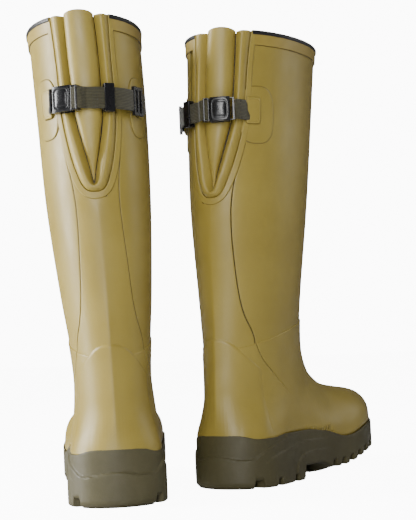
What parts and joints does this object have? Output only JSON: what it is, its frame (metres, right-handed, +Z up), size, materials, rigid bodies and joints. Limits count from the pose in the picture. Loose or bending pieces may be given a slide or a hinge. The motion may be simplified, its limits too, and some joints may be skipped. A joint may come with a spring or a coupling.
{
  "type": "pair of insulated hunting boots",
  "caption": "Tall pull-on rubber boots with an adjustable rear calf gusset, buckled webbing strap, neoprene lining and lugged outsoles; left and right standing side by side.",
  "frame": {"origin": "middle of the pair's footprint, on the ground", "axes": "+Z up; +Y the way the left boot's toe points, to within five degrees; +X towards the right boot's side"},
  "size_m": [0.3312, 0.3812, 0.43],
  "materials": {
    "olive_rubber": "satin natural rubber, faint orange-peel",
    "band_rubber": "matte rubber",
    "gusset_rubber": "satin rubber",
    "binding_rubber": "matte rubber",
    "sole_rubber": "matte moulded rubber",
    "eva_foam": "closed-cell foam",
    "glass_fibre": "satin laminate",
    "neoprene": "knit-faced neoprene foam",
    "footbed_foam": "felt-topped foam",
    "webbing": "woven nylon webbing",
    "buckle_plastic": "semi-gloss moulded plastic"
  },
  "bodies": {
    "left_boot": {"left_outsole": "sole_rubber", "left_midsole": "eva_foam", "left_shank": "glass_fibre", "left_foxing": "sole_rubber", "left_vamp": "olive_rubber", "left_quarter": "olive_rubber", "left_shaft": "olive_rubber", "left_back_panel": "olive_rubber", "left_heel_counter": "olive_rubber", "left_top_band": "band_rubber", "left_rim_binding": "binding_rubber", "left_gusset": "gusset_rubber", "left_gusset_ridges": "gusset_rubber", "left_gusset_border": "band_rubber", "left_outer_patch": "olive_rubber", "left_inner_patch": "olive_rubber", "left_outer_tab": "olive_rubber", "left_inner_tab": "olive_rubber", "left_lining": "neoprene", "left_footbed": "footbed_foam", "left_buckle_strap": "webbing", "left_main_strap": "webbing", "left_anchor_strap": "webbing", "left_buckle_body": "buckle_plastic"},
    "left_tongue": {"left_buckle_tongue": "buckle_plastic"},
    "left_prong_upper_part": {"left_prong_upper": "buckle_plastic"},
    "left_prong_lower_part": {"left_prong_lower": "buckle_plastic"},
    "left_keeper_part": {"left_keeper": "buckle_plastic"},
    "left_adjuster_part": {"left_adjuster": "buckle_plastic"},
    "right_boot": {"right_outsole": "sole_rubber", "right_midsole": "eva_foam", "right_shank": "glass_fibre", "right_foxing": "sole_rubber", "right_vamp": "olive_rubber", "right_quarter": "olive_rubber", "right_shaft": "olive_rubber", "right_back_panel": "olive_rubber", "right_heel_counter": "olive_rubber", "right_top_band": "band_rubber", "right_rim_binding": "binding_rubber", "right_gusset": "gusset_rubber", "right_gusset_ridges": "gusset_rubber", "right_gusset_border": "band_rubber", "right_outer_patch": "olive_rubber", "right_inner_patch": "olive_rubber", "right_outer_tab": "olive_rubber", "right_inner_tab": "olive_rubber", "right_lining": "neoprene", "right_footbed": "footbed_foam", "right_buckle_strap": "webbing", "right_main_strap": "webbing", "right_anchor_strap": "webbing", "right_buckle_body": "buckle_plastic"},
    "right_tongue": {"right_buckle_tongue": "buckle_plastic"},
    "right_prong_upper_part": {"right_prong_upper": "buckle_plastic"},
    "right_prong_lower_part": {"right_prong_lower": "buckle_plastic"},
    "right_keeper_part": {"right_keeper": "buckle_plastic"},
    "right_adjuster_part": {"right_adjuster": "buckle_plastic"}
  },
  "joints": [
    {"name": "right_boot_lift", "type": "slide", "parent": "left_boot", "child": "right_boot", "axis": [0, 0, 1], "range_m": [0, 0.3]},
    {"name": "left_buckle_release", "type": "slide", "parent": "left_boot", "child": "left_tongue", "axis": [0.895, -0.446, 0], "range_m": [0, 0.015], "deforming": ["left_main_strap"]},
    {"name": "left_prong_upper_squeeze", "type": "hinge", "parent": "left_tongue", "child": "left_prong_upper_part", "pos_m": [-0.11522, -0.18485, 0.3626], "axis": [-0.446, -0.895, 0], "range_deg": [0, 8], "stiffness_Nm_per_rad": 0.05},
    {"name": "left_prong_lower_squeeze", "type": "hinge", "parent": "left_tongue", "child": "left_prong_lower_part", "pos_m": [-0.11522, -0.18485, 0.3474], "axis": [0.446, 0.895, 0], "range_deg": [0, 8], "stiffness_Nm_per_rad": 0.05},
    {"name": "left_keeper_slide", "type": "slide", "parent": "left_boot", "child": "left_keeper_part", "axis": [-0.908, -0.419, 0], "range_m": [-0.003, 0.003]},
    {"name": "left_adjuster_tilt", "type": "hinge", "parent": "left_boot", "child": "left_adjuster_part", "pos_m": [-0.05755, -0.15072, 0.355], "axis": [0, 0, 1], "range_deg": [0, 35]},
    {"name": "right_buckle_release", "type": "slide", "parent": "right_boot", "child": "right_tongue", "axis": [-0.989, 0.148, 0], "range_m": [0, 0.015], "deforming": ["right_main_strap"]},
    {"name": "right_prong_upper_squeeze", "type": "hinge", "parent": "right_tongue", "child": "right_prong_upper_part", "pos_m": [0.0042, -0.09893, 0.3626], "axis": [0.148, 0.989, 0], "range_deg": [0, 8], "stiffness_Nm_per_rad": 0.05},
    {"name": "right_prong_lower_squeeze", "type": "hinge", "parent": "right_tongue", "child": "right_prong_lower_part", "pos_m": [0.0042, -0.09893, 0.3474], "axis": [-0.148, -0.989, 0], "range_deg": [0, 8], "stiffness_Nm_per_rad": 0.05},
    {"name": "right_keeper_slide", "type": "slide", "parent": "right_boot", "child": "right_keeper_part", "axis": [0.5898, -0.8075, 0], "range_m": [-0.003, 0.003]},
    {"name": "right_adjuster_tilt", "type": "hinge", "parent": "right_boot", "child": "right_adjuster_part", "pos_m": [-0.02466, -0.04411, 0.355], "axis": [0, 0, -1], "range_deg": [0, 35]}
  ],
  "couplings": [
    {"joint": "left_prong_lower_squeeze", "follows": "left_prong_upper_squeeze", "ratio": 1},
    {"joint": "right_prong_lower_squeeze", "follows": "right_prong_upper_squeeze", "ratio": 1}
  ]
}
